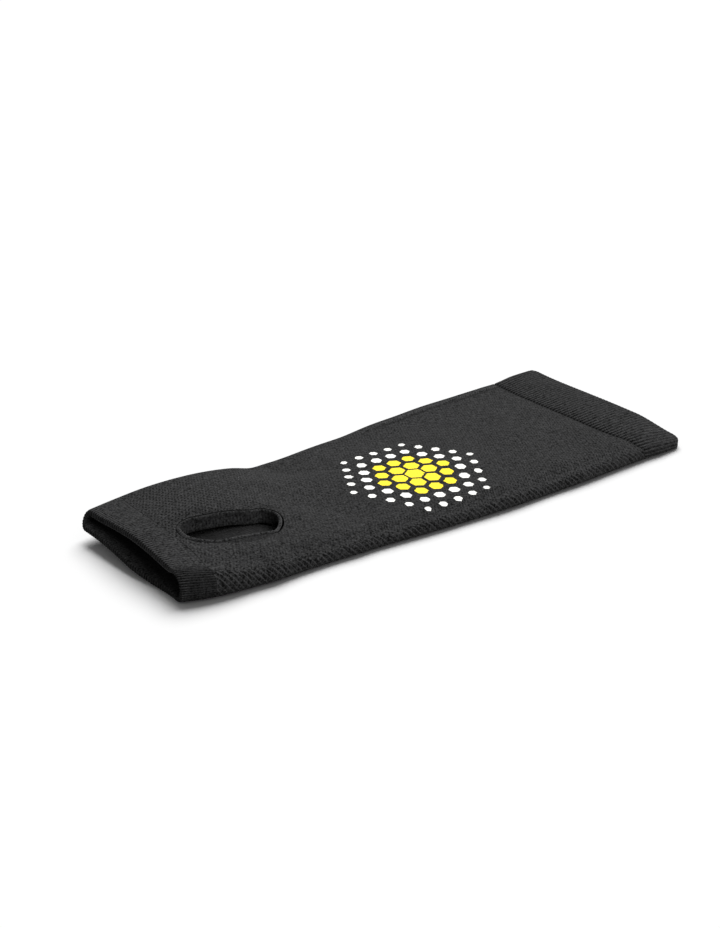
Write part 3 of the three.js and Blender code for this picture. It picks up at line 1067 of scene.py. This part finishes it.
# %% A socket that does maths
class Field:
    """A value or vector in a material's node tree."""

    def __init__(self, tree, socket):
        self.tree = tree
        self.socket = socket

    def node(self, kind, settings=None, output=0, **inputs):
        """Any node: its settings are set first, then its sockets' values or links."""
        made = self.tree.nodes.new(kind)
        for name, value in (settings or {}).items():
            setattr(made, name, value)
        for name, value in inputs.items():
            key = int(name[1:]) if name[0] == "_" else name.replace("_", " ")
            if isinstance(value, Field):
                self.tree.links.new(value.socket, made.inputs[key])
            else:
                made.inputs[key].default_value = value
        return Field(self.tree, made.outputs[output])

    def math(self, operation, *values):
        inputs = {f"_{i}": value for i, value in enumerate(values)}
        return self.node("ShaderNodeMath", {"operation": operation}, **inputs)

    def __add__(self, other):
        return self.math("ADD", self, other)

    __radd__ = __add__

    def __sub__(self, other):
        return self.math("SUBTRACT", self, other)

    def __rsub__(self, other):
        return self.math("SUBTRACT", other, self)

    def __mul__(self, other):
        return self.math("MULTIPLY", self, other)

    __rmul__ = __mul__

    def __truediv__(self, other):
        return self.math("DIVIDE", self, other)

    def __abs__(self):
        return self.math("ABSOLUTE", self)

    def cosine(self):
        return self.math("COSINE", self)

    def fraction(self):
        return self.math("FRACT", self)

    def rounded(self):
        return self.math("ROUND", self)

    def at_least(self, other):
        return self.math("MAXIMUM", self, other)

    def at_most(self, other):
        return self.math("MINIMUM", self, other)

    def step(self, low, high):
        """0 below low, 1 above high, with a soft ramp between."""
        settings = {"interpolation_type": "SMOOTHSTEP"}
        return self.node("ShaderNodeMapRange", settings, Value=self, From_Min=low, From_Max=high)


def start_material(name):
    """A new material with one Principled shader; returns both and a field to build from."""
    material = bpy.data.materials.new(name)
    material.use_nodes = True
    tree = material.node_tree
    tree.nodes.clear()
    shader = tree.nodes.new("ShaderNodeBsdfPrincipled")
    output = tree.nodes.new("ShaderNodeOutputMaterial")
    tree.links.new(shader.outputs["BSDF"], output.inputs["Surface"])
    return material, shader, Field(tree, None)


def map_fields(field, name):
    """The two values that one of the piece's own maps holds."""
    place = field.node("ShaderNodeUVMap", {"uv_map": name})
    first = field.node("ShaderNodeSeparateXYZ", output=0, Vector=place)
    second = field.node("ShaderNodeSeparateXYZ", output=1, Vector=place)
    return first, second


def noise(field, size, detail=2.0, roughness=0.5):
    """Noise of about a size in metres on Object coordinates, from 0 to 1."""
    place = field.node("ShaderNodeTexCoord", output=3)
    return field.node(
        "ShaderNodeTexNoise", Vector=place, Scale=1 / size, Detail=detail, Roughness=roughness,
    )


def mixed(field, share, first, second):
    """A colour between two by a share."""
    return field.node("ShaderNodeMix", {"data_type": "RGBA"}, output=2, Factor=share, _6=first, _7=second)


def finish_cloth(field, shader, colour, height, bump_depth, bump_strength):
    """Links colour and bump, and sets what is the same all over a matte knit."""
    tree = field.tree
    bump = field.node("ShaderNodeBump", Height=height, Distance=bump_depth, Strength=bump_strength)
    tree.links.new(colour.socket, shader.inputs["Base Color"])
    tree.links.new(bump.socket, shader.inputs["Normal"])
    shader.inputs["Roughness"].default_value = 0.95
    shader.inputs["Specular IOR Level"].default_value = 0.04
    shader.inputs["Sheen Weight"].default_value = 0.03
    shader.inputs["Sheen Roughness"].default_value = 0.5


print("shader helpers are ready")

# %% [markdown]
# ## The body's knit
# The body is a fine mesh knit: a light ground with small dark pits on a slanting lattice; the pits are dark
# partly as open stitches and partly by painted shade. Three plane waves whose directions add up to nothing
# make such a lattice, because all three peak together only at its points. Noise pulls the rows a little out
# of line, fades the pits in places and adds the fibres. On the near fold the knit is stretched, and
# slanting rows of light yarn are drawn out of it, with a painted highlight on them and painted shade
# between; the whole fold also has a little painted shade.

# %% Body knit
CHARCOAL_DARK = (0.001, 0.001, 0.001, 1)
CHARCOAL_LIGHT = (0.0325, 0.0325, 0.033, 1)
CHARCOAL_SHARE = 0.47
FIRST_WAVE = (0.60, 0.335)
SECOND_WAVE = (0.325, 0.545)
FOLD_WAVE = (0.355, -0.28)
ROW_WANDER = 1.2
STITCH_WANDER = 0.9
PIT_BORDERS = (0.4, 2.6)


def plane_wave(along, around, wave):
    """A cosine wave with so many periods to a millimetre along and round the sleeve."""
    return (along * (2 * math.pi * wave[0]) + around * (2 * math.pi * wave[1])).cosine()


def pit_lattice(field, along, around):
    """Strength of the knit's pits, about 0 on the ground and 1 in a pit, and its finest wave."""
    along = along + (noise(field, 0.010) - 0.5) * ROW_WANDER
    along = along + (noise(field, 0.0025, 1.0) - 0.5) * STITCH_WANDER
    around = around + (noise(field, 0.008) - 0.5) * ROW_WANDER
    around = around + (noise(field, 0.0022, 1.0) - 0.5) * STITCH_WANDER
    third_wave = (FIRST_WAVE[0] - SECOND_WAVE[0], FIRST_WAVE[1] - SECOND_WAVE[1])
    first = plane_wave(along, around, FIRST_WAVE)
    second = plane_wave(along, around, SECOND_WAVE)
    third = plane_wave(along, around, third_wave)
    return (first + second + third).step(*PIT_BORDERS), first


# %% [markdown]
# ## The print
# The forearm carries a print. Here it is a plain burst of hexagons, yellow in the middle and white
# further out, each smaller the further it is from the middle.
# Two rectangular grids, one shifted by half a cell, hold the middles of a honeycomb between them, so the
# nearer of the two middles is the cell that a point belongs to.

# %% Hexagon print
PRINT_WHITE = (0.70, 0.70, 0.67, 1)
PRINT_YELLOW = (0.76, 0.60, 0.035, 1)
PRINT_MIDDLE = (152.8, 10.3)
CELL_PITCH = 9.4
YELLOW_REACH = 2.2
PRINT_REACH = 4.2
LARGEST_CELL = 0.47
CELL_FADE = 0.075
CELL_EDGE = 0.015
ROW_PAIR = math.sqrt(3)


def nearest(value, period):
    """Signed distance from the nearest multiple of a period."""
    return value - (value / period).rounded() * period


def hexagon_print(field, along, around):
    """Masks of the whole print and of its yellow part."""
    x = (along - PRINT_MIDDLE[0]) / CELL_PITCH
    y = (around - PRINT_MIDDLE[1]) / CELL_PITCH
    x_even, y_even = nearest(x, 1), nearest(y, ROW_PAIR)
    x_odd, y_odd = nearest(x - 0.5, 1), nearest(y - ROW_PAIR / 2, ROW_PAIR)
    even_far = x_even * x_even + y_even * y_even
    odd_far = x_odd * x_odd + y_odd * y_odd
    even = field.math("LESS_THAN", even_far, odd_far)
    x_cell = x_even * even + x_odd * (1 - even)
    y_cell = y_even * even + y_odd * (1 - even)
    flat = abs(x_cell).at_least(abs(x_cell) * 0.5 + abs(y_cell) * (ROW_PAIR / 2))
    x_middle, y_middle = x - x_cell, y - y_cell
    reach = field.math("SQRT", x_middle * x_middle + y_middle * y_middle)
    size = LARGEST_CELL - reach * CELL_FADE
    inked = (size - flat).step(-CELL_EDGE, CELL_EDGE)
    inked = inked * field.math("LESS_THAN", reach, PRINT_REACH)
    return inked, field.math("LESS_THAN", reach, YELLOW_REACH)


# %% [markdown]
# ## The body's finish
# Knit and print come together here. The light share is taken from the ground, the pits, the yarn and the
# drawn rows, and a yarn is a sum of coarse, fine and wide noise. Painted shade darkens the pits, the low
# side of the lattice's finest wave and the near fold, and a painted highlight lightens the drawn rows. The
# ink lies over the knit, thinner in the pits, with a ragged edge and a flatter bump.

# %% Body finish
YARN_NOISES = [
    dict(size=0.0021, detail=1.0, share=1.0),
    dict(size=0.0009, detail=1.0, share=2.4),
    dict(size=0.03, detail=3.0, share=0.3),
]
RAGGED_EDGE = 0.9
FOLD_BORDERS = (MOST_OPEN + 0.05, MOST_OPEN + 1.0)
FOLD_CLOSED = 0.8
FOLD_SHADE = 0.1
DRAWN_YARN_AND_HIGHLIGHT = 0.55
DRAWN_SHADE = 0.12
PIT_DARK_AND_SHADE = 0.42
WAVE_SHADE = 0.06
BODY_YARN = 0.72
INK_LOST_IN_PITS = 0.22
INK_FLATNESS = 0.55
BODY_BUMP = dict(yarn=0.8, wave=0.15, drawn=0.6, depth=0.4 * MM, strength=0.8)


def heather(field):
    """Uneven yarn: a sum of noises about 0."""
    return sum((noise(field, row["size"], row["detail"]) - 0.5) * row["share"] for row in YARN_NOISES)


def make_body_knit():
    material, shader, field = start_material("charcoal_mesh_knit")
    along, around = map_fields(field, "Knit")
    pale, open_knit = map_fields(field, "Shade")
    pits, first = pit_lattice(field, along, around)
    ragged = (noise(field, 0.0011, 2.0) - 0.5) * RAGGED_EDGE
    yarn = heather(field)
    on_fold = open_knit.step(*FOLD_BORDERS)
    drawn = plane_wave(along + ragged, around + ragged, FOLD_WAVE)
    # The drawn rows: light yarn with a painted highlight, and painted shade between them.
    lines = drawn.step(0.7, 1.0) * DRAWN_YARN_AND_HIGHLIGHT - (1 - drawn.step(-0.9, 0.5)) * DRAWN_SHADE
    lines = lines * on_fold
    open_knit = open_knit.at_most(MOST_OPEN) * (1 - on_fold * FOLD_CLOSED)
    # Painted shade in the pits, on the low side of the finest wave and on the near fold.
    light = CHARCOAL_SHARE - pits * open_knit * PIT_DARK_AND_SHADE - first * WAVE_SHADE * (1 - on_fold)
    light = light + yarn * BODY_YARN + lines - on_fold * FOLD_SHADE
    cloth = mixed(field, (light * pale).at_least(0).at_most(1), CHARCOAL_DARK, CHARCOAL_LIGHT)
    inked, yellow = hexagon_print(field, along + ragged, around + ragged)
    ink = mixed(field, yellow, PRINT_WHITE, PRINT_YELLOW)
    colour = mixed(field, inked * (1 - pits * INK_LOST_IN_PITS), cloth, ink)
    height = yarn * BODY_BUMP["yarn"] - pits * open_knit
    height = height - first * BODY_BUMP["wave"] + lines * BODY_BUMP["drawn"]
    height = height * (1 - inked * INK_FLATNESS)
    finish_cloth(field, shader, colour, height, BODY_BUMP["depth"], BODY_BUMP["strength"])
    return material


body.data.materials.clear()
body.data.materials.append(make_body_knit())
print("the body has its knit and its print")

# %% [markdown]
# ## The rib knit
# The ribs themselves are modelled, so this finish only paints shade into the grooves between them and a
# highlight onto their crests, and adds the small stitches along each rib, each with a little painted
# shade and highlight where it dips and stands up.

# %% Rib knit
RIB_STITCH = 1.5
CREST_BORDERS = (0.1, 0.8)
CREST_LEVEL = 0.6
STITCH_SHADE_AND_HIGHLIGHT = 0.03
RIB_YARN = 0.75
RIB_BUMP = dict(crest=0.3, stitch=0.3, yarn=0.5, depth=0.3 * MM, strength=0.7)


def make_rib_knit(name):
    material, shader, field = start_material(name)
    along, ribs = map_fields(field, "Knit")
    pale, contrast = map_fields(field, "Shade")
    across = abs((ribs + 0.5).fraction() - 0.5) * 2
    crest = across.step(*CREST_BORDERS)
    stitch = ((along * (1 / RIB_STITCH) + across * 0.5) * (2 * math.pi)).cosine()
    yarn = heather(field)
    # Painted shade in the grooves and painted highlight on the crests, by the contrast; the stitches get a
    # little of both.
    light = CHARCOAL_SHARE + (crest - CREST_LEVEL) * contrast + stitch * STITCH_SHADE_AND_HIGHLIGHT + yarn * RIB_YARN
    cloth = mixed(field, (light * pale).at_least(0).at_most(1), CHARCOAL_DARK, CHARCOAL_LIGHT)
    height = crest * RIB_BUMP["crest"] + stitch * RIB_BUMP["stitch"] + yarn * RIB_BUMP["yarn"]
    finish_cloth(field, shader, cloth, height, RIB_BUMP["depth"], RIB_BUMP["strength"])
    return material


for piece, name in (
    (hand_cuff, "charcoal_hand_rib"), (arm_cuff, "charcoal_arm_rib"), (binding, "charcoal_binding_knit"),
):
    piece.data.materials.clear()
    piece.data.materials.append(make_rib_knit(name))
print("cuffs and binding have their rib knit")

# %% [markdown]
# ## Table and light
# The table is a plain pale plane. The main light is one very wide soft source overhead, behind the sleeve
# and to its right: the upper wall is evenly lit, and a close shadow falls towards the viewer. A sun lamp
# with a wide angle is such a source, and lights the table evenly. A second one in front opens the side
# towards the viewer. A studio keeps such a fill off the table with a flag, so that the shadow stays deep;
# Blender's light linking is that flag, and names the pieces that the fill may light.

# %% Table and light
TABLE_SIZE = 12
TABLE_DROP = 0.2 * MM
TABLE_PALE = (0.9, 0.9, 0.9, 1)
WORLD_LIGHT = 0.2

bpy.ops.object.select_all(action="DESELECT")
bpy.ops.mesh.primitive_plane_add(size=TABLE_SIZE, location=(0, 0, -TABLE_DROP))
table = bpy.context.object
table.name = "table"
table_material, table_shader, _ = start_material("pale_table")
table_shader.inputs["Base Color"].default_value = TABLE_PALE
table_shader.inputs["Roughness"].default_value = 0.9
table.data.materials.append(table_material)

LIGHTS = [
    dict(name="main_light", comes_from=(0.43, 0.45, 0.78), angle=46, energy=3.7),
    dict(name="fill_light", comes_from=(0.20, -0.65, 0.73), angle=60, energy=3.7),
]
for row in LIGHTS:
    bpy.ops.object.light_add(type="SUN", location=row["comes_from"])
    light = bpy.context.object
    light.name = row["name"]
    light.data.angle = math.radians(row["angle"])
    light.data.energy = row["energy"]
    light.rotation_euler = Vector(row["comes_from"]).to_track_quat("Z", "Y").to_euler()

lit_by_fill = bpy.data.collections.new("lit_by_fill")
for piece in (body, hand_cuff, arm_cuff, binding):
    lit_by_fill.objects.link(piece)
bpy.data.objects["fill_light"].light_linking.receiver_collection = lit_by_fill

world = bpy.data.worlds.new("studio")
world.use_nodes = True
background = world.node_tree.nodes["Background"]
background.inputs["Color"].default_value = (1, 1, 1, 1)
background.inputs["Strength"].default_value = WORLD_LIGHT
scene.world = world
scene.view_settings.view_transform = "Standard"
scene.view_settings.look = "None"
print("table and light are set")

# %% [markdown]
# ## Handing over
# Each piece rides on the frame's one body and stands for its CAD node, which is hidden. The table also
# gives each piece's material slot and, as cloth, the size that it was knitted to.

# %% Pieces and sheets
PIECES = [
    dict(piece=body, node="sleeve_body", slot="body_knit", flat=(0.256, 0.2542), area=0.0585),
    dict(piece=hand_cuff, node="hand_cuff", slot="rib_knit", flat=(0.19, 0.019), area=None),
    dict(piece=arm_cuff, node="arm_cuff", slot="rib_knit", flat=(0.262, 0.034), area=None),
    dict(piece=binding, node="thumb_hole_binding", slot="binding_knit", flat=(0.118, 0.0100), area=0.00095),
]
for row in PIECES:
    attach(row["piece"], "root")
    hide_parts(row["node"])
